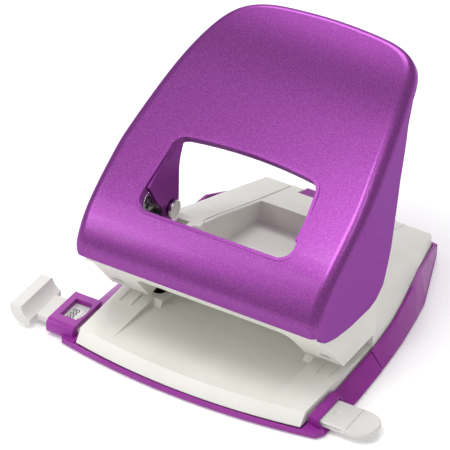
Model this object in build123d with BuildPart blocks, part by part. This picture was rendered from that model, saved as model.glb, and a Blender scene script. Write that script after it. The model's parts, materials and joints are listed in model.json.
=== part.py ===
from build123d import *
import os
from math import atan2, cos, degrees, hypot, radians, sin

# Two-hole desk punch with a pressed steel lever. Millimetres, +Z up, +Y to the rear, +X to the right.
# The origin is on the ground, midway between the two punches.

os.makedirs("parts", exist_ok=True)

# ---------------------------------------------------------------- driving dimensions
HOLE_SPACING = 80.0  # between hole centres, the filing standard
PUNCH_X = HOLE_SPACING / 2
PUNCH_R = 2.75  # a 5.5 mm hole
RUN = 0.05  # radial running clearance
GAP = 0.4  # clearance between pieces that slide past each other
STOP_Y = 12.0  # paper stop, behind the punch line
TABLE_Z = 8.6  # top of the paper table
SLOT_TOP = 14.2  # underside of the jaw over the paper slot
FLOOR_Z = 0.8  # underside of the base, above the rubber feet
PLATE = 1.6  # base and tray floor thickness
DIE_Y0, DIE_Y1 = -4.5, 32.0  # die plates, from just ahead of the punch to under the arms
CHEEK_X = 55.6  # outer face of the housing at the jaw
CHEEK = 3.2  # cheek wall
THROAT_X = 36.5  # half width of the throat between the guide towers
BLOCK_TOP = 39.5  # top of the jaw block
LOW_TOP = 33.2  # its lowered middle

PIVOT_Y, PIVOT_Z, PIVOT_R = -24.0, 46.0, 2.5
DRIVE_Y, DRIVE_Z, DRIVE_R = 1.5, 51.5, 2.5
HEAD_TOP = DRIVE_Z - DRIVE_R - 0.3  # flat top of the punch head, just below the drive pin
HEAD_R = 3.7
PUNCH_TIP = SLOT_TOP + 0.1
BUSH_TOP = 24.0
SPRING_TOP = 45.0
SPRING_R, WIRE_R, TURNS = 3.55, 0.4, 7  # return springs round the punches
SHEET = 1.6  # lever sheet
LEVER_X = 58.0  # half width of the lever's front
BEND = 5.0  # outer bend radius of the lever's edge
EAR_X = 34.2  # inner face of the window ears
EAR = 1.5
EAR_SLOT = 18.0  # length of the slots in the block that the ears sink into
LUG_X = 47.2  # inner face of the hinge brackets
DECK_X = 27.9  # half width of the rear deck between the arms
BASIN_X = DECK_X - 1.6  # half width of the basin in it

RAIL_Y0, RAIL_Y1 = -37.5, -21.5
RAIL_Z0, RAIL_Z1 = 2.8, 5.4
TAB_X, TAB_Y = 21.5, 83.5  # latch tab on the rear deck
STAND = (Align.CENTER, Align.CENTER, Align.MIN)  # standing on the work plane
RIM_SCREWS = [(30.0, -41.0), (-30.0, -41.0), (50.5, -16.5), (-50.5, -16.5)]

# lever side profile: top of the sheet from the front lip to the rear rim, (y, z)
CREST = [(-37.0, 44.0), (-37.2, 48.5), (-34.2, 55.4), (-29.0, 62.2), (-22.2, 68.0), (-6.3, 78.4),
         (11.0, 88.6), (29.5, 98.8), (49.1, 107.9), (66.0, 112.4), (82.0, 115.0)]
# lower edge of the lever's flange, from the rear rim down to the front lip
FLANGE = [(82.0, 109.0), (66.0, 105.6), (55.0, 102.6), (46.5, 96.0), (34.5, 78.1), (27.0, 63.5), (22.0, 52.0)]
FLANGE_FOOT = [(15.5, 39.0), (9.8, 35.0), (4.6, 33.9), (-11.0, 34.7), (-22.3, 36.6), (-31.0, 39.4)]
# lever outline seen square to its sheet: half width, distance up the slope
LEVER_PLAN = [(57.4, 47.7), (54.8, 68.5), (51.1, 90.0), (48.6, 100.4), (46.2, 108.5), (41.0, 117.4),
              (33.5, 122.3), (19.0, 125.3), (0.0, 126.3)]
SLOPE = degrees(atan2(78.4 - 68.0, -6.3 + 22.2))  # of the sheet round the hand window
LEAN = (0, -sin(radians(SLOPE)), cos(radians(SLOPE)))  # square to that sheet

# base plan, half width at the ground, (y, x); the side turns in at a corner near the rear
SKIRT_FRONT = [(-40.0, 63.0), (-30.0, 63.4), (-12.0, 63.4), (8.8, 62.3)]
SKIRT_REAR = [(9.4, 62.2), (18.4, 61.4), (29.2, 60.3), (39.3, 58.7), (47.8, 57.2), (57.5, 55.2)]
SKIRT_TAIL = [(57.5, 55.2), (90.0, 43.0)]
# white wall where it meets the skirt, (y, x, z)
WALL = [(-40.0, 54.0, 3.4), (-30.0, 54.0, 3.7), (-12.0, 54.6, 5.0), (8.8, 55.5, 7.6), (9.4, 55.5, 7.7),
        (18.4, 55.4, 8.8), (29.2, 55.0, 10.5), (39.3, 54.0, 12.9), (47.8, 53.0, 15.6), (57.5, 51.1, 17.0),
        (88.5, 41.1, 6.4), (90.0, 41.1, 6.4)]
# arm sections: y, inner top z, outer crease (x, z), wall at the skirt (x)
ARMS = [(STOP_Y, 39.5, 51.8, 34.4, 55.6), (20.0, 37.2, 51.5, 30.8, 55.4), (28.0, 34.3, 51.1, 27.3, 55.1),
        (37.0, 30.8, 50.8, 24.0, 54.3), (45.0, 27.7, 49.5, 21.8, 53.4), (54.0, 24.4, 48.2, 19.4, 51.9),
        (62.5, 21.2, 46.6, 17.5, 49.5), (70.0, 18.6, 45.0, 15.7, 47.1), (77.0, 16.0, 43.4, 14.3, 44.8),
        (82.4, 14.0, 42.1, 13.2, 43.1), (88.5, 11.9, 40.7, 11.9, 41.1)]
ARM_FOOT = 5.9  # lower edge of the arms
WALL_T = 2.2  # arm wall


def save(part, node):
    """Label a finished piece and write it as one STEP file."""
    part.label = node
    export_step(part, f"parts/{node}.step")


def wall_at(y):
    """White wall (x, z) at the top of the skirt, read along WALL."""
    for (y0, x0, z0), (y1, x1, z1) in zip(WALL, WALL[1:]):
        if y0 <= y <= y1:
            t = (y - y0) / (y1 - y0)
            return x0 + t * (x1 - x0), z0 + t * (z1 - z0)
    raise ValueError(y)


def section(y, points):
    """One closed (x, z) section across the object at a given y."""
    with BuildSketch(Plane.XZ.offset(-y)) as sketch:
        with BuildLine():
            Polyline(*points, close=True)
        make_face()
    return sketch.sketch


def skirt_section(y, x_foot):
    """Sloping wall of the base: wide at the foot, thin where it meets the white wall."""
    x_top, z_top = wall_at(y)
    x_top += GAP
    return section(y, [(x_foot, FLOOR_Z), (x_top + 1.2, z_top), (x_top, z_top), (x_top, z_top - 1.4),
                       (x_foot - 2.8, FLOOR_Z)])


def arm_section(y, z_in, x_crease, z_crease, x_wall):
    """Right arm: roof falling outwards to the crease, then a side wall flaring to the skirt."""
    return section(y, [(DECK_X + 0.3, z_in), (x_crease, z_crease), (x_wall, wall_at(y)[1]), (x_wall, ARM_FOOT),
                       (DECK_X + 0.3, ARM_FOOT)])


def arm_hollow(y, z_in, x_crease, z_crease, x_wall):
    """Space inside the right arm, open underneath."""
    return section(y, [(DECK_X + 2.3, z_in - 2.4), (x_crease - 2.0, z_crease - 2.0), (x_wall - WALL_T, 9.0),
                       (x_wall - WALL_T, ARM_FOOT - 1), (DECK_X + 2.3, ARM_FOOT - 1)])


def inset(points, amount):
    """Points moved square to their line, to the right-hand side going along it."""
    moved = []
    for i, (a, b) in enumerate(points):
        (a0, b0), (a1, b1) = points[max(i - 1, 0)], points[min(i + 1, len(points) - 1)]
        run, rise = a1 - a0, b1 - b0
        size = hypot(run, rise)
        moved.append((a + amount * rise / size, b - amount * run / size))
    return moved


def deck_top(y):
    """Height of the deck's top at y, read along the arms' inner edge."""
    for (y0, z0, *_), (y1, z1, *_) in zip(ARMS, ARMS[1:]):
        if y0 <= y <= y1:
            return z0 + (z1 - z0) * (y - y0) / (y1 - y0)
    raise ValueError(y)


def front_arc(x_side, y_side, y_mid):
    """Bowed front edge between two side points."""
    return ThreePointArc((-x_side, y_side), (0, y_mid), (x_side, y_side))


# ---------------------------------------------------------------- front rim of the base, with the rail housing
HOUSE_X0, HOUSE_Y0, HOUSE_Y1, HOUSE_TOP = -69.5, -41.5, -19.0, 8.0
with BuildPart() as front_rim:
    loft([skirt_section(y, x) for y, x in SKIRT_FRONT], ruled=True)
    mirror(about=Plane.YZ)
    # floor plate with the bowed front, ending ahead of the tray except for the middle land
    with BuildSketch(Plane.XY.offset(FLOOR_Z)):
        with BuildLine():
            front_arc(60.6, -43.4, -49.4)
            Polyline((60.6, -43.4), (60.6, 8.8), (47.0, 8.8), (47.0, -12.5), (13.0, -12.5), (13.0, 8.8),
                     (-13.0, 8.8), (-13.0, -12.5), (-47.0, -12.5), (-47.0, 8.8), (-60.6, 8.8), (-60.6, -43.4))
        make_face()
    extrude(amount=PLATE)
    # upstanding front lip below the table's bevel
    with BuildSketch(Plane.XY.offset(FLOOR_Z)):
        with BuildLine():
            front_arc(60.6, -43.4, -49.4)
            Line((60.6, -43.4), (63.0, -40.0))
            Line((63.0, -40.0), (54.6, -40.0))
            front_arc(54.6, -43.8, -48.6)
            Line((-54.6, -40.0), (-63.0, -40.0))
            Line((-63.0, -40.0), (-60.6, -43.4))
            Line((54.6, -40.0), (54.6, -43.8))
            Line((-54.6, -43.8), (-54.6, -40.0))
        make_face()
    extrude(amount=3.3 - FLOOR_Z)
    # rail housing on the left, with a rounded front edge
    with BuildSketch(Plane.YZ.offset(HOUSE_X0)):
        with Locations(((HOUSE_Y0 + HOUSE_Y1) / 2, (HOUSE_TOP + FLOOR_Z) / 2)):
            housing = Rectangle(HOUSE_Y1 - HOUSE_Y0, HOUSE_TOP - FLOOR_Z)
        fillet(housing.vertices().group_by(Axis.X)[0], radius=2.6)
    extrude(amount=-56.5 - HOUSE_X0)
    # eye on the right, where the rail's tail comes out of the skirt
    with BuildSketch(Plane.XZ.offset(39.0)):
        with BuildLine():
            Polyline((54.9, FLOOR_Z), (54.9, 6.8), (56.2, 6.8), (59.3, 6.2), (61.5, FLOOR_Z), close=True)
        make_face()
    extrude(amount=-19.0)
    # tunnel for the guide rail, right through both sides
    with Locations((0, (RAIL_Y0 + RAIL_Y1) / 2, (RAIL_Z0 + RAIL_Z1) / 2)):
        Box(150, RAIL_Y1 - RAIL_Y0 + 2 * GAP, RAIL_Z1 - RAIL_Z0 + 2 * 0.3, mode=Mode.SUBTRACT)
    # seats for the screws that hold the table down
    with Locations(Plane.XY.offset(FLOOR_Z)):
        with Locations(*RIM_SCREWS):
            Cylinder(radius=2.4, height=1.0, align=STAND, mode=Mode.SUBTRACT)
            Cylinder(radius=1.2, height=5.0, align=STAND, mode=Mode.SUBTRACT)
    # sight window over the format scale
    with BuildSketch(Plane.XY.offset(HOUSE_TOP)):
        with BuildLine():
            Polyline((-58.6, -35.2), (-66.6, -35.2), (-66.6, -22.8), (-58.6, -22.8))
            ThreePointArc((-58.6, -22.8), (-57.4, -29.0), (-58.6, -35.2))
        make_face()
    extrude(amount=-2.4, mode=Mode.SUBTRACT)
save(front_rim.part, "front_rim")

# ---------------------------------------------------------------- paper table
RAMP_X, RAMP_DROP = 38.7, 2.5
PAD_X = 34.4  # inner face of the pads over the die plates
with BuildPart() as paper_table:
    with BuildSketch(Plane.XY.offset(3.4)):
        with BuildLine():
            front_arc(53.6, -43.2, -48.2)
            Polyline((53.6, -43.2), (54.4, -12.0), (55.1, STOP_Y), (-55.1, STOP_Y),
                     (-54.4, -12.0), (-53.6, -43.2))
        make_face()
    extrude(amount=TABLE_Z - 3.4)
    front_edges = paper_table.edges().group_by(Axis.Z)[-1].sort_by(Axis.Y)[0]
    chamfer(front_edges, length=5.0, length2=4.0)
    # hollow underneath, open at the back
    with BuildSketch(Plane.XY.offset(3.4)):
        with BuildLine():
            front_arc(51.6, -38.4, -41.6)
            Polyline((51.6, -38.4), (52.4, -12.0), (53.1, STOP_Y), (-53.1, STOP_Y),
                     (-52.4, -12.0), (-51.6, -38.4))
        make_face()
    extrude(amount=0.9, mode=Mode.SUBTRACT)
    with BuildSketch(Plane.YZ):
        with BuildLine():
            Polyline((-41.0, 4.2), (-41.0, 6.6), (-30.0, 6.6), (-18.0, 5.7), (-6.0, 4.8), (STOP_Y, 4.8),
                     (STOP_Y, 4.2), close=True)
        make_face()
    extrude(amount=52.0, both=True, mode=Mode.SUBTRACT)
    # middle of the table ramps down towards the throat
    with BuildSketch(Plane.YZ):
        with BuildLine():
            Polyline((-38.2, TABLE_Z), (-6.0, TABLE_Z - RAMP_DROP), (STOP_Y, TABLE_Z - RAMP_DROP),
                     (STOP_Y, 20.0), (-38.2, 20.0), close=True)
        make_face()
    extrude(amount=RAMP_X, both=True, mode=Mode.SUBTRACT)
    # pads beside the ramp, level with the side strips, so that the die plates stay covered
    for x in (PAD_X, -RAMP_X - 0.5):
        with BuildSketch(Plane.YZ.offset(x)):
            with BuildLine():
                Polyline((-9.5, 5.2), (-6.3, TABLE_Z), (STOP_Y, TABLE_Z), (STOP_Y, 5.2), close=True)
            make_face()
        extrude(amount=RAMP_X + 0.5 - PAD_X)
    # die plate pockets under the side strips
    with Locations((PUNCH_X + 4.0, DIE_Y0 - GAP, 6.05), (-PUNCH_X - 4.0, DIE_Y0 - GAP, 6.05)):
        Box(17.2, 20.0, 2.7, align=(Align.CENTER, Align.MIN, Align.CENTER), mode=Mode.SUBTRACT)
    # low ribs beside the jaw
    with Locations((50.2, -11.0, TABLE_Z), (-50.2, -11.0, TABLE_Z),
                   (44.4, -11.6, TABLE_Z), (-44.4, -11.6, TABLE_Z)):
        Box(0.7, 8.6, 1.0)
    # holes over the dies
    with Locations((PUNCH_X, 0, TABLE_Z), (-PUNCH_X, 0, TABLE_Z)):
        Cylinder(radius=3.3, height=8.0, mode=Mode.SUBTRACT)
    # screw posts
    with Locations(Plane.XY.offset(FLOOR_Z + PLATE)):
        with Locations(*RIM_SCREWS):
            Cylinder(radius=2.6, height=4.6, align=STAND)
            Cylinder(radius=1.2, height=4.0, align=STAND, mode=Mode.SUBTRACT)
    # slots for the guide rail
    with Locations((0, (RAIL_Y0 + RAIL_Y1) / 2, (RAIL_Z0 + RAIL_Z1) / 2)):
        Box(150, RAIL_Y1 - RAIL_Y0 + 2 * GAP, RAIL_Z1 - RAIL_Z0 + 2 * 0.3, mode=Mode.SUBTRACT)
save(paper_table.part, "paper_table")

# ---------------------------------------------------------------- hardened die plates under the table
PLATE_Z0, PLATE_T = 5.0, 2.2
for side, name in ((1, "die_plate_right"), (-1, "die_plate_left")):
    with BuildPart() as die_plate:
        with BuildSketch(Plane.XY.offset(PLATE_Z0)):
            with Locations((side * (PUNCH_X + 4.0), (DIE_Y0 + DIE_Y1) / 2)):
                RectangleRounded(16.6, DIE_Y1 - DIE_Y0, 1.4)
            with Locations((side * PUNCH_X, 0)):
                Circle(PUNCH_R + RUN, mode=Mode.SUBTRACT)
            with Locations((side * 46.0, 18.0), (side * 46.0, 28.0)):
                Circle(1.6, mode=Mode.SUBTRACT)
        extrude(amount=PLATE_T)
    save(die_plate.part, name)

# ---------------------------------------------------------------- punch housing: jaw, towers, cheeks, arms
with BuildPart() as punch_housing:
    # jaw block: undercut front, flat underside over the slot, paper stop behind
    with BuildSketch(Plane.YZ):
        with BuildLine():
            Polyline((-31.0, BLOCK_TOP), (-12.0, SLOT_TOP), (STOP_Y, SLOT_TOP), (STOP_Y, ARM_FOOT + 1.6),
                     (STOP_Y + 2.4, ARM_FOOT + 1.6), (STOP_Y + 2.4, BLOCK_TOP), close=True)
        make_face()
    extrude(amount=CHEEK_X, both=True)
    # throat between the towers
    with BuildSketch(Plane.XZ.offset(50)):
        with BuildLine():
            FilletPolyline((-38.0, 0), (-THROAT_X, 31.0), (THROAT_X, 31.0), (38.0, 0), close=False, radius=5.0)
            Line((38.0, 0), (-38.0, 0))
        make_face()
    extrude(amount=-(50 + STOP_Y), mode=Mode.SUBTRACT)
    # lightening pockets behind the cheeks and over the throat
    for side in (1, -1):
        with BuildSketch(Plane.XY.offset(BLOCK_TOP)):
            with Locations((side * 49.6, -4.0)):
                RectangleRounded(5.6, 26.0, 1.5)
        extrude(amount=-20.0, mode=Mode.SUBTRACT)
    with BuildSketch(Plane.XY.offset(BLOCK_TOP)):
        with Locations((0, -6.0)):
            RectangleRounded(60.0, 32.0, 3.0)
    extrude(amount=LOW_TOP - BLOCK_TOP, mode=Mode.SUBTRACT)
    # guide towers round the punches
    with Locations((PUNCH_X, 0, SLOT_TOP), (-PUNCH_X, 0, SLOT_TOP)):
        Cylinder(radius=6.6, height=36.0 - SLOT_TOP, align=STAND)
    with Locations(Plane.XY.offset(SLOT_TOP - 1)):
        with Locations((PUNCH_X, 0), (-PUNCH_X, 0)):
            Cylinder(radius=4.4, height=40, align=STAND, mode=Mode.SUBTRACT)
    # cheek tops and inner hinge posts that carry the lever pivots
    for x0, x1 in ((CHEEK_X - CHEEK, CHEEK_X), (43.2, 46.6)):
        for side in (1, -1):
            with BuildSketch(Plane.YZ.offset(side * (x0 + x1) / 2)):
                with BuildLine():
                    Polyline((-31.0, BLOCK_TOP - 2), (-31.0, PIVOT_Z))
                    ThreePointArc((-31.0, PIVOT_Z), (PIVOT_Y, PIVOT_Z + 7.0), (PIVOT_Y + 7.0, PIVOT_Z))
                    Polyline((PIVOT_Y + 7.0, PIVOT_Z), (-13.0, BLOCK_TOP), (-13.0, BLOCK_TOP - 2),
                             (-31.0, BLOCK_TOP - 2))
                make_face()
            extrude(amount=(x1 - x0) / 2, both=True)
    with Locations(Plane.YZ):
        with Locations((PIVOT_Y, PIVOT_Z)):
            Cylinder(radius=PIVOT_R, height=2 * (CHEEK_X - 1.0), mode=Mode.SUBTRACT)
    # arms sweeping down to the rear deck, made on the right and mirrored below
    loft([arm_section(*arm) for arm in ARMS], ruled=True)
    loft([arm_hollow(*arm) for arm in ARMS if STOP_Y < arm[0] < 86], ruled=True, mode=Mode.SUBTRACT)
    # screw bosses into the hollow
    with Locations(Plane.XY.offset(PLATE_Z0 + PLATE_T)):
        with Locations((46.0, 18.0), (46.0, 28.0)):
            Cylinder(radius=3.4, height=19.6, align=STAND)
            Cylinder(radius=1.3, height=10.0, align=STAND, mode=Mode.SUBTRACT)
    split(bisect_by=Plane.YZ, keep=Keep.TOP)
    mirror(about=Plane.YZ)
    # slots that the lever's ears and the heads of its drive pins sink into
    with Locations((EAR_X + 0.3, 2.0, BLOCK_TOP), (-EAR_X - 0.3, 2.0, BLOCK_TOP)):
        Box(5.6, EAR_SLOT, 5.0, mode=Mode.SUBTRACT)
    # pocket for the die plates, which run back under the arms
    for side in (1, -1):
        with Locations((side * (PUNCH_X + 4.0), DIE_Y1 + 0.2, PLATE_Z0 + PLATE_T / 2)):
            Box(17.0, 45.4, PLATE_T, align=(Align.CENTER, Align.MAX, Align.CENTER), mode=Mode.SUBTRACT)
    # the block's middle is low behind the recess, where it opens into the basin
    with Locations((0, 5.0, LOW_TOP)):
        Box(2 * BASIN_X, 14.0, 20.0, align=(Align.CENTER, Align.MIN, Align.MIN), mode=Mode.SUBTRACT)
save(punch_housing.part, "punch_housing")

# ---------------------------------------------------------------- rear deck with the basin, between the arms
DECK_Y0 = STOP_Y + 2.4 + 0.1
BASIN_Y0, BASIN_Y1, BASIN_Y2 = 17.0, 57.6, 60.0
BASIN_Z0, BASIN_Z1 = 21.3, 13.2
with BuildPart() as rear_deck:
    with BuildSketch(Plane.YZ):
        with BuildLine():
            crest = [(y, deck_top(y)) for y in (DECK_Y0, 28.0, 45.0, 62.5, 77.0, 88.5)]
            Polyline((DECK_Y0, ARM_FOOT), *crest, (89.4, 11.4), (89.6, ARM_FOOT), close=True)
        make_face()
    extrude(amount=DECK_X, both=True)
    # basin
    with BuildSketch(Plane.YZ):
        with BuildLine():
            Polyline((DECK_Y0 - 1, 60.0), (DECK_Y0 - 1, LOW_TOP - 2.2), (BASIN_Y0, LOW_TOP - 2.2),
                     (BASIN_Y0, BASIN_Z0), (BASIN_Y1, BASIN_Z1),
                     (BASIN_Y2, deck_top(BASIN_Y2)), (BASIN_Y2, 60.0), close=True)
        make_face()
    extrude(amount=BASIN_X, both=True, mode=Mode.SUBTRACT)
    # hollow underneath
    with BuildSketch(Plane.YZ):
        with BuildLine():
            Polyline((DECK_Y0 + 1.8, ARM_FOOT - 1), (DECK_Y0 + 1.8, BASIN_Z0 - 1.4),
                     (BASIN_Y1 + 1.6, BASIN_Z1 - 1.9),
                     (BASIN_Y2 + 1.8, deck_top(BASIN_Y2 + 1.8) - 2.2), (80.0, deck_top(80.0) - 2.2),
                     (80.0, ARM_FOOT - 1), close=True)
        make_face()
    extrude(amount=DECK_X - 1.8, both=True, mode=Mode.SUBTRACT)
    # notch for the latch tab, open to the rear
    with Locations((0, TAB_Y - GAP, ARM_FOOT - 1)):
        Box(2 * (TAB_X + GAP), 20, 20, align=(Align.CENTER, Align.MIN, Align.MIN), mode=Mode.SUBTRACT)
save(rear_deck.part, "rear_deck")

# ---------------------------------------------------------------- chip tray: the rear of the base
TRAY_SLOT = 13.0 + GAP
with BuildPart() as chip_tray:
    loft([skirt_section(y, x) for y, x in SKIRT_REAR], ruled=True)
    loft([skirt_section(y, x) for y, x in SKIRT_TAIL], ruled=True)
    mirror(about=Plane.YZ)
    # floor, with two tongues under the punches and a slot round the middle land
    with BuildSketch(Plane.XY.offset(FLOOR_Z)):
        with BuildLine():
            Polyline((-43.0, 90.0), (-55.2, 57.5), (-60.2, 18.4), (-61.0, 9.4), (-46.6, 9.4), (-46.6, -12.0),
                     (-TRAY_SLOT, -12.0), (-TRAY_SLOT, 9.4), (TRAY_SLOT, 9.4), (TRAY_SLOT, -12.0),
                     (46.6, -12.0), (46.6, 9.4), (61.0, 9.4), (60.2, 18.4), (55.2, 57.5), (43.0, 90.0))
            front_arc(43.0, 90.0, 93.0)
        make_face()
    extrude(amount=PLATE)
    # bowed rear wall
    with BuildSketch(Plane.XY.offset(FLOOR_Z)):
        with BuildLine():
            front_arc(43.0, 90.0, 93.0)
            Line((43.0, 90.0), (41.6, 89.0))
            front_arc(41.6, 89.0, 91.1)
            Line((-41.6, 89.0), (-43.0, 90.0))
        make_face()
    extrude(amount=6.4 - FLOOR_Z)
    # upright that carries the latch tab
    with Locations((0, 91.9, 4.0)):
        Box(2 * TAB_X - 4.0, 1.4, 5.6, align=STAND)
save(chip_tray.part, "chip_tray")

with BuildPart() as tray_latch:
    with BuildSketch(Plane.YZ):
        with BuildLine():
            Polyline((TAB_Y, 13.4), (90.4, 11.8), (92.6, 9.6), (TAB_Y, 9.6), close=True)
        make_face()
    extrude(amount=TAB_X, both=True)
save(tray_latch.part, "tray_latch")


# ---------------------------------------------------------------- lever: a pressed hood with a hand window
def hood(margin, foot):
    """Solid inside the lever's skin, inset by margin; foot is its lower edge in the side view."""
    crest = inset(CREST, margin)
    plan = [(x - margin, y - margin * (x < 40)) for x, y in LEVER_PLAN[:-1]]
    plan += [(0.0, LEVER_PLAN[-1][1] - margin)]
    with BuildPart() as solid:
        with BuildSketch(Plane.YZ):
            with BuildLine():
                Spline(*crest)
                Line(crest[-1], foot[0])
                Polyline(*foot, crest[0])
            make_face()
        extrude(amount=80, both=True)
        with BuildSketch(Plane(origin=(0, 0, 0), x_dir=(1, 0, 0), z_dir=LEAN)):
            with BuildLine():
                right = [(LEVER_X - margin, 28.0), *plan[:-1]]
                left = [(-x, y) for x, y in reversed(right)]
                Spline(*right, plan[-1], *left, tangents=((0, 1), (0, -1)))
                Polyline(left[-1], (-LEVER_X + margin, -60.0), (LEVER_X - margin, -60.0), right[0])
            make_face()
        extrude(amount=150, both=True, mode=Mode.INTERSECT)
        bends = solid.edges().filter_by(GeomType.BSPLINE).filter_by(
            lambda e: e.length > 30 and abs(e.center().X) > 40 and e.center().Z > 50)
        fillet(bends, radius=BEND - margin)
    return solid.part


sheet_plane = Plane(origin=(0, -9.0, 76.8), x_dir=(1, 0, 0), z_dir=LEAN)


def window_face(margin):
    """Hand window in the sheet, margin wider all round."""
    with BuildSketch(sheet_plane) as face:
        with BuildLine():
            Polyline((-33.2, 17.0), (-36.6, -17.6), (36.6, -17.6), (33.2, 17.0))
            ThreePointArc((33.2, 17.0), (0, 19.6), (-33.2, 17.0))
        make_face()
        fillet(face.vertices(), radius=6.0)
        if margin:
            offset(amount=margin)
    return face.sketch


outer_foot = FLANGE + FLANGE_FOOT
inner_foot = [(CREST[-1][0], 20.0), (-60.0, 20.0), (-60.0, 42.0)]
outer_hood = hood(0.0, outer_foot)
inner_hood = hood(SHEET, inner_foot)
with BuildPart() as lever_shell:
    add(outer_hood)
    add(inner_hood, mode=Mode.SUBTRACT)
    # turned-down rim of the window
    extrude(window_face(1.4), amount=-5.0)
    extrude(window_face(0), amount=30.0, both=True, mode=Mode.SUBTRACT)
    # ears that carry the drive pins
    for side in (1, -1):
        with BuildSketch(Plane.YZ.offset(side * EAR_X)):
            with BuildLine():
                Polyline((-15.0, 71.5), (-9.0, 60.0), (-3.6, 53.2))
                ThreePointArc((-3.6, 53.2), (DRIVE_Y, DRIVE_Z - 5.6), (6.9, 50.4))
                Line((6.9, 50.4), (7.6, 66.0))
                ThreePointArc((7.6, 66.0), (10.2, 76.0), (17.0, 84.0))
                Polyline((17.0, 84.0), (17.0, 90.7), (-15.0, 71.5))
            make_face()
            with Locations((DRIVE_Y, DRIVE_Z)):
                Circle(DRIVE_R, mode=Mode.SUBTRACT)
        extrude(amount=side * EAR)
save(lever_shell.part, "lever_shell")

for side, name in ((1, "hinge_bracket_right"), (-1, "hinge_bracket_left")):
    with BuildPart() as bracket:
        with BuildSketch(Plane.YZ.offset(side * LUG_X)):
            with BuildLine():
                Polyline((-33.0, 53.0), (-30.0, PIVOT_Z))
                ThreePointArc((-30.0, PIVOT_Z), (PIVOT_Y, PIVOT_Z - 5.6), (PIVOT_Y + 6.0, PIVOT_Z))
                Polyline((PIVOT_Y + 6.0, PIVOT_Z), (-12.0, 64.0), (-12.0, 90.0), (-33.0, 90.0), (-33.0, 53.0))
            make_face()
            with Locations((PIVOT_Y, PIVOT_Z)):
                Circle(PIVOT_R + RUN, mode=Mode.SUBTRACT)
        extrude(amount=side * EAR)
        add(inner_hood, mode=Mode.INTERSECT)
    save(bracket.part, name)

# ---------------------------------------------------------------- pins, clips, punches, bushes and springs
CLIP_X0, CLIP_X1 = 44.2, 45.0
for side, word in ((1, "right"), (-1, "left")):
    across = Plane(origin=(0, 0, 0), x_dir=(0, 1, 0), z_dir=(side, 0, 0))
    with BuildPart() as pivot_pin:
        with BuildSketch(across.offset(43.2)):
            with Locations((PIVOT_Y, side * PIVOT_Z)):
                Circle(PIVOT_R)
        extrude(amount=CHEEK_X - 1.0 - 43.2)
        chamfer(pivot_pin.edges().filter_by(GeomType.CIRCLE), length=0.4)
    save(pivot_pin.part, f"pivot_pin_{word}")

    with BuildPart() as drive_pin:
        with BuildSketch(across.offset(EAR_X - 2.0)):
            with Locations((DRIVE_Y, side * DRIVE_Z)):
                Circle(4.0)
        extrude(amount=1.5)
        fillet(drive_pin.edges().filter_by(GeomType.CIRCLE), radius=0.4)
        with BuildSketch(across.offset(EAR_X - 1.0)):
            with Locations((DRIVE_Y, side * DRIVE_Z)):
                Circle(DRIVE_R)
        extrude(amount=CLIP_X1 + 0.8 - EAR_X + 1.0)
        with BuildSketch(across.offset(CLIP_X0)):
            with Locations((DRIVE_Y, side * DRIVE_Z)):
                Circle(DRIVE_R)
                Circle(DRIVE_R - 0.6, mode=Mode.SUBTRACT)
        extrude(amount=CLIP_X1 - CLIP_X0, mode=Mode.SUBTRACT)
    save(drive_pin.part, f"drive_pin_{word}")

    with BuildPart() as drive_clip:
        with BuildSketch(across.offset(CLIP_X0)):
            with Locations((DRIVE_Y, side * DRIVE_Z)):
                Circle(4.0)
                Circle(DRIVE_R - 0.6, mode=Mode.SUBTRACT)
            with Locations((DRIVE_Y - 4.0, side * DRIVE_Z)):
                Rectangle(5.0, 2.4, mode=Mode.SUBTRACT)
        extrude(amount=CLIP_X1 - CLIP_X0)
    save(drive_clip.part, f"drive_clip_{word}")

    with BuildPart(Plane.XY.offset(PUNCH_TIP)) as punch:
        with Locations((side * PUNCH_X, 0)):
            Cylinder(radius=PUNCH_R, height=HEAD_TOP - PUNCH_TIP, align=STAND)
        with Locations((side * PUNCH_X, 0, SPRING_TOP + 0.8 - PUNCH_TIP)):
            Cylinder(radius=HEAD_R, height=HEAD_TOP - SPRING_TOP - 0.8, align=STAND)
        chamfer(punch.faces().sort_by(Axis.Z)[-1].edges(), length=0.5)
        # hollow ground cutting edge
        with Locations((side * PUNCH_X, 0, 0)):
            Cone(bottom_radius=2.2, top_radius=0.6, height=1.6, align=STAND,
                 mode=Mode.SUBTRACT)
    save(punch.part, f"punch_{word}")

    with BuildPart(Plane.XY.offset(SPRING_TOP)) as spring_ring:
        with Locations((side * PUNCH_X, 0)):
            Cylinder(radius=4.1, height=0.8, align=STAND)
            Cylinder(radius=PUNCH_R, height=0.8, align=STAND, mode=Mode.SUBTRACT)
    save(spring_ring.part, f"spring_ring_{word}")

    with BuildPart(Plane.XY.offset(SLOT_TOP)) as guide_bush:
        with Locations((side * PUNCH_X, 0)):
            Cylinder(radius=4.4, height=BUSH_TOP - SLOT_TOP, align=STAND)
            Cylinder(radius=PUNCH_R + RUN, height=BUSH_TOP - SLOT_TOP, align=STAND,
                     mode=Mode.SUBTRACT)
    save(guide_bush.part, f"guide_bush_{word}")

    spring_height = SPRING_TOP - BUSH_TOP - 2 * WIRE_R - 0.1
    with BuildPart() as punch_spring:
        with BuildLine() as coil:
            Helix(pitch=spring_height / TURNS, height=spring_height, radius=SPRING_R,
                  center=(side * PUNCH_X, 0, BUSH_TOP + WIRE_R + 0.05))
        with BuildSketch(Plane(origin=coil.line @ 0, z_dir=coil.line % 0)):
            Circle(WIRE_R)
        sweep()
    save(punch_spring.part, f"punch_spring_{word}")

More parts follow.
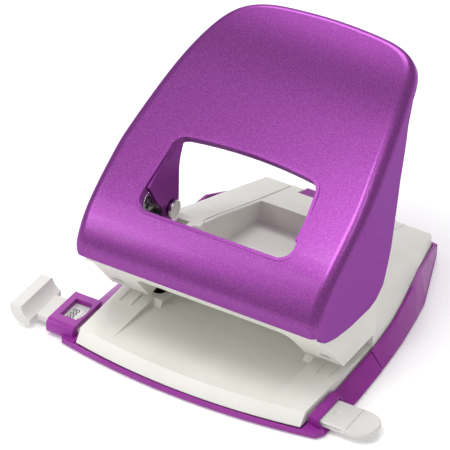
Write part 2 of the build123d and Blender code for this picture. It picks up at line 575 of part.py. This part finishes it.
# ---------------------------------------------------------------- paper guide
RAIL_MID = (RAIL_Y0 + RAIL_Y1) / 2
with BuildPart() as guide_rail:
    with BuildSketch(Plane.XY.offset(RAIL_Z0)):
        with BuildLine():
            Polyline((-77.0, RAIL_Y0), (74.0, RAIL_Y0))
            ThreePointArc((74.0, RAIL_Y0), (80.0, RAIL_Y0 + 2.6), (81.6, RAIL_MID))
            ThreePointArc((81.6, RAIL_MID), (80.0, RAIL_Y1 - 2.6), (74.0, RAIL_Y1))
            Polyline((74.0, RAIL_Y1), (-77.0, RAIL_Y1), (-77.0, RAIL_Y0))
        make_face()
    extrude(amount=RAIL_Z1 - RAIL_Z0)
    chamfer(guide_rail.edges().group_by(Axis.Z)[-1].filter_by(lambda e: e.center().X > 70), length=0.8)
    # shallow step across the tail and slits along its sides
    with Locations((71.0, RAIL_MID, RAIL_Z1 - 0.3)):
        Box(12.0, 20.0, 1.0, align=(Align.MIN, Align.CENTER, Align.MIN), mode=Mode.SUBTRACT)
    with Locations((64.5, RAIL_Y0, 4.2), (64.5, RAIL_Y1, 4.2)):
        Box(9.0, 1.6, 0.5, mode=Mode.SUBTRACT)
    # thumb dimple near the tail, and the pocket for the format scale
    with Locations((63.0, RAIL_MID, RAIL_Z1 + 2.2)):
        Sphere(radius=3.0, mode=Mode.SUBTRACT)
    with Locations((-62.6, RAIL_MID, RAIL_Z1)):
        Box(10.0, 13.4, 0.6, mode=Mode.SUBTRACT)
save(guide_rail.part, "guide_rail")

with BuildPart() as format_scale:
    with Locations((-62.6, RAIL_MID, RAIL_Z1 - 0.15)):
        Box(9.8, 13.2, 0.3)
save(format_scale.part, "format_scale")

with BuildPart() as stop_flag:
    with BuildSketch(Plane.XZ.offset(42.6)):
        with BuildLine():
            Polyline((-77.0, RAIL_Z0), (-77.0, RAIL_Z1))
            ThreePointArc((-77.0, RAIL_Z1), (-79.6, 7.4), (-81.0, 11.0))
            Line((-81.0, 11.0), (-86.2, 11.0))
            ThreePointArc((-86.2, 11.0), (-85.2, 4.6), (-80.5, 2.0))
            Polyline((-80.5, 2.0), (-77.0, RAIL_Z0))
        make_face()
    extrude(amount=-23.8)
    fillet(stop_flag.edges().filter_by(Axis.X), radius=1.2)
save(stop_flag.part, "stop_flag")

with BuildPart() as rail_spring:
    with BuildSketch(Plane.XY.offset(3.0)):
        with BuildLine():
            ThreePointArc((-34.0, -19.6), (-24.0, -20.8), (-14.0, -19.6))
            Line((-14.0, -19.6), (-14.0, -19.2))
            ThreePointArc((-14.0, -19.2), (-24.0, -20.4), (-34.0, -19.2))
            Line((-34.0, -19.2), (-34.0, -19.6))
        make_face()
    extrude(amount=1.7)
save(rail_spring.part, "rail_spring")

# ---------------------------------------------------------------- screws and feet
with BuildPart(Plane.XY.offset(PLATE_Z0)) as frame_screws:
    with Locations((46.0, 18.0), (46.0, 28.0), (-46.0, 18.0), (-46.0, 28.0)):
        Cylinder(radius=2.8, height=1.2, align=(Align.CENTER, Align.CENTER, Align.MAX))
        Cylinder(radius=1.3, height=11.0, align=STAND)
save(frame_screws.part, "frame_screws")

with BuildPart(Plane.XY.offset(FLOOR_Z)) as rim_screws:
    with Locations(*RIM_SCREWS):
        Cylinder(radius=2.4, height=1.0, align=STAND)
        Cylinder(radius=1.2, height=5.0, align=STAND)
save(rim_screws.part, "rim_screws")

with BuildPart() as front_feet:
    with Locations((50, -36), (-50, -36), (0, 0)):
        Cylinder(radius=6.0, height=FLOOR_Z, align=STAND)
    chamfer(front_feet.faces().filter_by(Axis.Z).group_by(Axis.Z)[0].edges(), length=0.3)
save(front_feet.part, "front_feet")

with BuildPart() as tray_feet:
    with Locations((34, 78), (-34, 78)):
        Cylinder(radius=6.0, height=FLOOR_Z, align=STAND)
    chamfer(tray_feet.faces().filter_by(Axis.Z).group_by(Axis.Z)[0].edges(), length=0.3)
save(tray_feet.part, "tray_feet")
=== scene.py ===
"""Looks of the two-hole desk punch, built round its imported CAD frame. Metres, +Z up, +Y to the rear."""
import json

import bmesh
import bpy
from math import cos, pi, radians, sin
from mathutils import Matrix, Vector


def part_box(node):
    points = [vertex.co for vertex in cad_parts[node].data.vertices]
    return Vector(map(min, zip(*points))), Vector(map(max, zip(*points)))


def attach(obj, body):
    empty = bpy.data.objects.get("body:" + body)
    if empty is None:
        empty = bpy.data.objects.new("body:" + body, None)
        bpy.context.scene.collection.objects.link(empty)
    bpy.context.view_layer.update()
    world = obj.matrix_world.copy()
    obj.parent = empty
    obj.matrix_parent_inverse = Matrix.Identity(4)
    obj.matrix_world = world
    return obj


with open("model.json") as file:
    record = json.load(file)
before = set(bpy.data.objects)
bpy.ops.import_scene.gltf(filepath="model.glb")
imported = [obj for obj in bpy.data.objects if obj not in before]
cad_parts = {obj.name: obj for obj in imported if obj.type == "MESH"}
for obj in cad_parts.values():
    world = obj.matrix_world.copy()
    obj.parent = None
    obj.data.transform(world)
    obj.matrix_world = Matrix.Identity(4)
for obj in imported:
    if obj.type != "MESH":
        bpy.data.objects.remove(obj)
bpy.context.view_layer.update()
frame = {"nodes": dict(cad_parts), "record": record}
NODES = frame["nodes"]
SLOTS = {part["node"]: part["material_slot"] for part in frame["record"]["subparts"]}
MM = 0.001


# ---------------------------------------------------------------- camera
AZIMUTH, ELEVATION, ROLL = radians(31.161), radians(36.394), radians(-0.104)
TARGET = Vector((0, 6.4, 43.2)) * MM
DISTANCE = 1.534
AIM_RIGHT, AIM_UP = -0.00989, 0.00760  # where the picture's middle lies from the target
LENS, SENSOR = 299.8, 36.0
CLIP_NEAR, CLIP_FAR = 0.05, 20


def view_axes():
    """Right, up and back directions of the camera."""
    back = Vector((sin(AZIMUTH) * cos(ELEVATION), -cos(AZIMUTH) * cos(ELEVATION), sin(ELEVATION)))
    right = Vector((cos(AZIMUTH), sin(AZIMUTH), 0))
    return right, back.cross(right), back


def make_camera():
    """Camera at the viewing angle, aimed a little off the target."""
    right, up, back = view_axes()
    data = bpy.data.cameras.new("camera")
    data.lens = LENS
    data.sensor_width = SENSOR
    data.clip_start, data.clip_end = CLIP_NEAR, CLIP_FAR
    camera = bpy.data.objects.new("camera", data)
    bpy.context.collection.objects.link(camera)
    place = TARGET + back * DISTANCE
    aim = TARGET + right * AIM_RIGHT + up * AIM_UP
    look = (place - aim).normalized()
    side = up.cross(look).normalized()
    turn = Matrix((side, look.cross(side), look)).transposed().to_4x4()
    camera.matrix_world = Matrix.Translation(place) @ turn @ Matrix.Rotation(ROLL, 4, "Z")
    bpy.context.scene.camera = camera


# ---------------------------------------------------------------- studio
WORLD_STRENGTH = 0.50
FLOOR_SIZE = 12
FLOOR_DROP = 0.0001  # how far the floor lies below the feet
FLOOR_GLOW = 0.15
MIDDLE = (0, 0.02, 0.05)
# name, place, the point that it faces, width and height, watts
LAMPS = [
    ("key", (-0.95, -0.75, 0.95), MIDDLE, (0.8, 0.8), 4.9),
    ("low_panel", (-0.33, -0.42, 0.33), (-0.04, -0.03, 0.05), (0.16, 0.16), 0.30),
    ("high_panel", (-0.04, -0.15, 0.55), (0.03, 0.0, 0.08), (0.20, 0.20), 1.05),
    ("edge_strip", (0.42, -0.10, 0.90), (0.05, 0.02, 0.07), (0.08, 0.50), 0.9),
    ("rear", (-0.30, 0.85, 0.80), MIDDLE, (0.6, 0.4), 4.6),
]


def make_world():
    """Even white surroundings."""
    world = bpy.data.worlds.new("studio")
    bpy.context.scene.world = world
    world.use_nodes = True
    background = world.node_tree.nodes["Background"]
    socket(background, "Color", (1, 1, 1, 1))
    socket(background, "Strength", WORLD_STRENGTH)


def area_light(name, place, aim, size, power):
    """Soft rectangular lamp that faces a point."""
    data = bpy.data.lights.new(name, "AREA")
    data.shape = "RECTANGLE"
    data.size, data.size_y = size
    data.energy = power
    light = bpy.data.objects.new(name, data)
    light.location = place
    light.rotation_mode = "QUATERNION"
    light.rotation_quaternion = (Vector(aim) - Vector(place)).to_track_quat("-Z", "Y")
    light.visible_camera = False
    bpy.context.collection.objects.link(light)


def make_floor():
    bpy.ops.mesh.primitive_plane_add(size=FLOOR_SIZE, location=(0, 0, -FLOOR_DROP))
    floor = bpy.context.object
    floor.name = "floor"
    floor.data.materials.append(floor_material())


def make_studio():
    make_world()
    for lamp in LAMPS:
        area_light(*lamp)
    make_floor()
    bpy.context.scene.view_settings.view_transform = "Standard"


# ---------------------------------------------------------------- material helpers
def socket(shader, name, value):
    shader.inputs[name].default_value = value


def new_material(name):
    material = bpy.data.materials.new(name)
    material.use_nodes = True
    tree = material.node_tree
    return material, tree, tree.nodes["Principled BSDF"]


def noise(tree, scale, detail=2.0, roughness=0.5):
    """Noise that stays with the object, in its own metres."""
    place = tree.nodes.new("ShaderNodeTexCoord")
    texture = tree.nodes.new("ShaderNodeTexNoise")
    socket(texture, "Scale", scale)
    socket(texture, "Detail", detail)
    socket(texture, "Roughness", roughness)
    tree.links.new(place.outputs["Object"], texture.inputs["Vector"])
    return texture.outputs["Fac"]


def ramp(tree, fac, stops):
    """Colour that follows a 0 to 1 value through the given stops."""
    node = tree.nodes.new("ShaderNodeValToRGB")
    points = node.color_ramp.elements
    while len(points) < len(stops):
        points.new(0.5)
    for point, (position, colour) in zip(points, stops):
        point.position = position
        point.color = (*colour, 1)
    tree.links.new(fac, node.inputs["Fac"])
    return node.outputs["Color"]


def span(tree, fac, low, high):
    """A 0 to 1 value stretched between low and high."""
    node = tree.nodes.new("ShaderNodeMapRange")
    socket(node, "To Min", low)
    socket(node, "To Max", high)
    tree.links.new(fac, node.inputs["Value"])
    return node.outputs["Result"]


def bump(tree, shader, fac, height, strength):
    node = tree.nodes.new("ShaderNodeBump")
    socket(node, "Strength", strength)
    socket(node, "Distance", height)
    tree.links.new(fac, node.inputs["Height"])
    tree.links.new(node.outputs["Normal"], shader.inputs["Normal"])


def finish(name, dark, light, roughness, cloud, grain, height, strength, metallic=0.0):
    """Cloudy colour and gloss with a fine surface grain: the base of every finish but the lacquer.

    cloud and grain are noise scales; height and strength are those of the grain.
    """
    material, tree, shader = new_material(name)
    colour = ramp(tree, noise(tree, cloud), [(0.35, dark), (0.65, light)])
    tree.links.new(colour, shader.inputs["Base Color"])
    tree.links.new(span(tree, noise(tree, cloud * 3), *roughness), shader.inputs["Roughness"])
    socket(shader, "Metallic", metallic)
    bump(tree, shader, noise(tree, grain, detail=1.0), height, strength)
    return material, shader


# ---------------------------------------------------------------- materials
def floor_material():
    """Pale paper sweep, lifted a little so that it stays near white round the object."""
    material, _, shader = new_material("floor")
    socket(shader, "Base Color", (0.95, 0.95, 0.95, 1))
    socket(shader, "Roughness", 0.8)
    socket(shader, "Emission Color", (1, 1, 1, 1))
    socket(shader, "Emission Strength", FLOOR_GLOW)
    return material


def lever_paint():
    """Metallic lacquer: fine flake under a clear coat, with a tinted edge reflection."""
    material, tree, shader = new_material("lever_paint")
    flake = noise(tree, 2600, detail=1.0, roughness=0.6)
    stops = [(0.30, (0.196, 0.034, 0.234)), (0.52, (0.256, 0.052, 0.280)), (0.72, (0.332, 0.094, 0.340))]
    tree.links.new(ramp(tree, flake, stops), shader.inputs["Base Color"])
    tree.links.new(span(tree, flake, 0.30, 0.42), shader.inputs["Roughness"])
    socket(shader, "Metallic", 0.84)
    socket(shader, "Specular Tint", (0.50, 0.14, 0.66, 1))
    socket(shader, "Coat Weight", 0.22)
    socket(shader, "Coat Roughness", 0.10)
    bump(tree, shader, flake, height=0.00003, strength=0.25)
    return material


def purple_plastic():
    material, shader = finish("purple_plastic", (0.275, 0.024, 0.285), (0.315, 0.034, 0.320),
                              roughness=(0.30, 0.38), cloud=60, grain=3000, height=0.00002, strength=0.12)
    socket(shader, "Specular IOR Level", 0.28)
    return material


def white_plastic():
    material, shader = finish("white_plastic", (0.765, 0.755, 0.700), (0.800, 0.790, 0.740),
                              roughness=(0.46, 0.56), cloud=45, grain=2600, height=0.00003, strength=0.18)
    socket(shader, "Subsurface Weight", 0.03)
    socket(shader, "Subsurface Scale", 0.002)
    return material


def grey_plastic():
    return finish("grey_plastic", (0.660, 0.645, 0.620), (0.700, 0.685, 0.660),
                  roughness=(0.44, 0.54), cloud=50, grain=2600, height=0.00003, strength=0.18)[0]


def metal(name, dark, light, roughness):
    return finish(name, dark, light, roughness, cloud=300, grain=1800, height=0.00002, strength=0.15,
                  metallic=1.0)[0]


def rubber():
    return finish("rubber", (0.030, 0.030, 0.033), (0.045, 0.045, 0.048),
                  roughness=(0.78, 0.90), cloud=120, grain=1500, height=0.00008, strength=0.4)[0]


def scale_print():
    """Pale strip that the format marks are printed on."""
    return finish("scale_print", (0.700, 0.695, 0.690), (0.740, 0.735, 0.730),
                  roughness=(0.42, 0.50), cloud=80, grain=2000, height=0.00001, strength=0.1)[0]


def ink():
    return finish("ink", (0.030, 0.030, 0.032), (0.050, 0.050, 0.053),
                  roughness=(0.42, 0.52), cloud=400, grain=3000, height=0.000005, strength=0.1)[0]


MATERIALS = {
    "purple_paint": lever_paint(),
    "purple_plastic": purple_plastic(),
    "white_plastic": white_plastic(),
    "grey_plastic": grey_plastic(),
    "steel": metal("steel", (0.48, 0.47, 0.46), (0.58, 0.57, 0.56), (0.28, 0.40)),
    "dark_steel": metal("dark_steel", (0.24, 0.24, 0.25), (0.32, 0.32, 0.33), (0.32, 0.46)),
    "bright_steel": metal("bright_steel", (0.60, 0.59, 0.57), (0.68, 0.67, 0.65), (0.20, 0.30)),
    "rubber": rubber(),
    "print": scale_print(),
}


# ---------------------------------------------------------------- CAD pieces
# radius in mm of the softened edges on each moulded piece
EDGE_RADII = {
    "punch_housing": 0.45, "rear_deck": 0.5, "paper_table": 0.35, "front_rim": 0.5, "chip_tray": 0.5,
    "tray_latch": 0.4, "stop_flag": 0.5, "guide_rail": 0.3,
}
SHARP = radians(32)  # edges that turn by more than this are softened
SAME_PLACE = 0.000005  # vertices closer than this are one
EDGE_STEPS = 3


def soften(node, radius):
    """Rounds a moulded piece's sharp edges without changing its mesh."""
    weld = node.modifiers.new("join", "WELD")
    weld.merge_threshold = SAME_PLACE
    bevel = node.modifiers.new("edges", "BEVEL")
    bevel.width = radius * MM
    bevel.segments = EDGE_STEPS
    bevel.limit_method = "ANGLE"
    bevel.angle_limit = SHARP
    bevel.harden_normals = True
    bevel.use_clamp_overlap = True


def dress_cad_nodes():
    """Every CAD node takes its finish from the record's slot, and moulded pieces get soft edges."""
    for name, node in NODES.items():
        node.data.materials.clear()
        node.data.materials.append(MATERIALS[SLOTS[name]])
        if name in EDGE_RADII:
            soften(node, EDGE_RADII[name])


# ---------------------------------------------------------------- print on the format strip
DIGITS = "888"
DIGIT_SIZE, DIGIT_DEPTH = 4.6 * MM, 0.03 * MM
DIGITS_SHIFT = -1.0 * MM  # from the strip's middle, along it
DASH_SIZE = Vector((0.30, 0.75, 0.06)) * MM
DASH_ROUNDING = 0.02 * MM
DASH_PITCH = 1.7
DASHES_SHIFT = 2.2 * MM
PRINT_LIFT = 0.04 * MM  # middle of the print above the strip


def print_piece(name, mesh, material):
    piece = bpy.data.objects.new(name, mesh)
    piece.data.materials.clear()
    piece.data.materials.append(material)
    bpy.context.collection.objects.link(piece)
    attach(piece, "guide")


def digits_mesh(centre, height):
    """Generic size digits, read from the left-hand side."""
    curve = bpy.data.curves.new("digits", "FONT")
    curve.body = DIGITS
    curve.size = DIGIT_SIZE
    curve.align_x, curve.align_y = "CENTER", "CENTER"
    curve.extrude = DIGIT_DEPTH
    lettering = bpy.data.objects.new("digits_source", curve)
    bpy.context.collection.objects.link(lettering)
    bpy.context.view_layer.update()
    mesh = bpy.data.meshes.new_from_object(lettering)
    bpy.data.objects.remove(lettering)
    turn = Matrix.Rotation(pi / 2, 4, "Z")
    mesh.transform(Matrix.Translation((centre.x + DIGITS_SHIFT, centre.y, height)) @ turn)
    return mesh


def dashes_mesh(centre, height):
    """Row of five short dashes across the strip."""
    dashes = bmesh.new()
    for place in range(-2, 3):
        box = bmesh.ops.create_cube(dashes, size=1)["verts"]
        bmesh.ops.scale(dashes, vec=DASH_SIZE, verts=box)
        move = Vector((centre.x + DASHES_SHIFT, centre.y + place * DASH_PITCH * MM, height))
        bmesh.ops.translate(dashes, verts=box, vec=move)
    bmesh.ops.bevel(dashes, geom=dashes.edges[:], offset=DASH_ROUNDING, segments=2, profile=0.5,
                    affect="EDGES")
    mesh = bpy.data.meshes.new("format_dashes")
    dashes.to_mesh(mesh)
    dashes.free()
    return mesh


def print_format():
    low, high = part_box("format_scale")
    centre = (low + high) / 2
    height = high.z + PRINT_LIFT
    material = ink()
    print_piece("format_digits", digits_mesh(centre, height), material)
    print_piece("format_dashes", dashes_mesh(centre, height), material)


make_camera()
make_studio()
dress_cad_nodes()
print_format()
